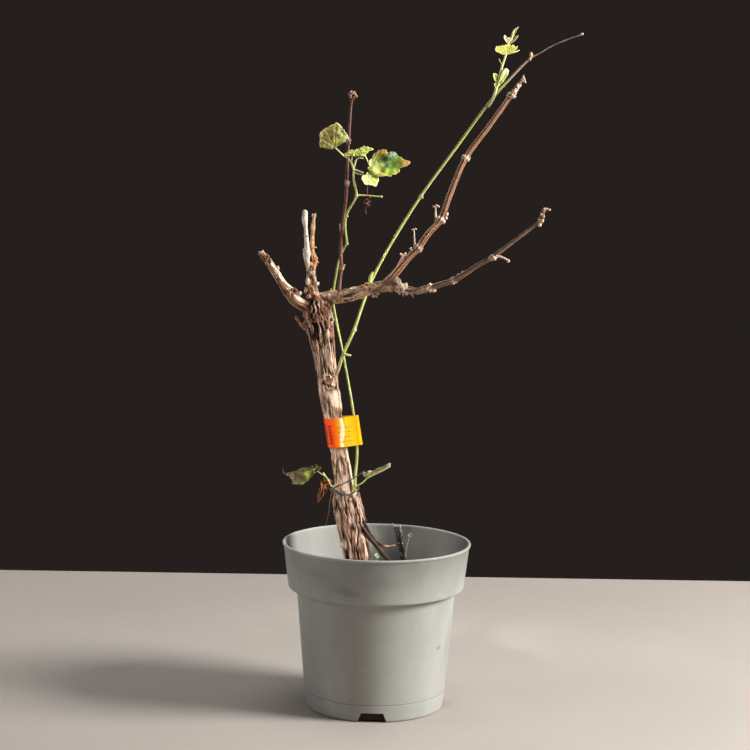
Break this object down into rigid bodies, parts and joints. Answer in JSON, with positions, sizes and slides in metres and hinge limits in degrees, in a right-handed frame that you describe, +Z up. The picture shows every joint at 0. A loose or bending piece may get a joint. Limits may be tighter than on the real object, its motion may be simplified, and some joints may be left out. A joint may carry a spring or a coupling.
{
  "type": "potted grapevine",
  "caption": "Young grapevine in a plastic pot: leaning shaggy trunk, pruned old canes, thin green shoots and a few small leaves",
  "frame": {"origin": "centre of the flat underside of the pot", "axes": "+Z up along the pot's axis, the trunk leans towards -X, -Y is the side with the front drainage notch"},
  "size_m": [0.3628, 0.22, 0.7866],
  "materials": {
    "pot_plastic": "matt moulded plastic, pale warm grey, scuffed",
    "potting_mix": "damp peat and bark crumbs",
    "bark": "shaggy peeling bark in long strips",
    "stripped_wood": "partly stripped pale wood",
    "grey_wood": "weathered grey wood",
    "tan_wood": "bare orange-tan wood",
    "cane_bark": "smooth reddish-brown cane bark",
    "green_shoot": "young green shoot, slightly glossy",
    "dry_tendril": "dry brown tendril",
    "leaf": "thin veined leaf",
    "dead_leaf": "crumpled dry leaf",
    "tie_wire": "dark coated tie wire",
    "colour_band": "glossy printed film, plain orange shades",
    "dark_root": "dark weathered root"
  },
  "bodies": {
    "root": {"pot": "pot_plastic", "potting_mix": "potting_mix", "trunk": "bark", "arm": "bark", "left_stub": "stripped_wood", "upright_stub": "bark", "grey_spur": "grey_wood", "tan_spur": "tan_wood", "thin_cane": "cane_bark", "long_cane": "cane_bark", "low_cane": "cane_bark", "left_shoot": "green_shoot", "right_shoot": "green_shoot", "tip_tendril": "dry_tendril", "left_spray": "leaf", "right_spray": "leaf", "tie_wire": "tie_wire", "colour_band": "colour_band", "low_left_leaf": "leaf", "low_right_leaf": "leaf", "dead_leaf": "dead_leaf", "upper_root": "dark_root", "lower_root": "dark_root", "cane_foot": "dark_root", "foot_shoot": "leaf"}
  },
  "joints": []
}
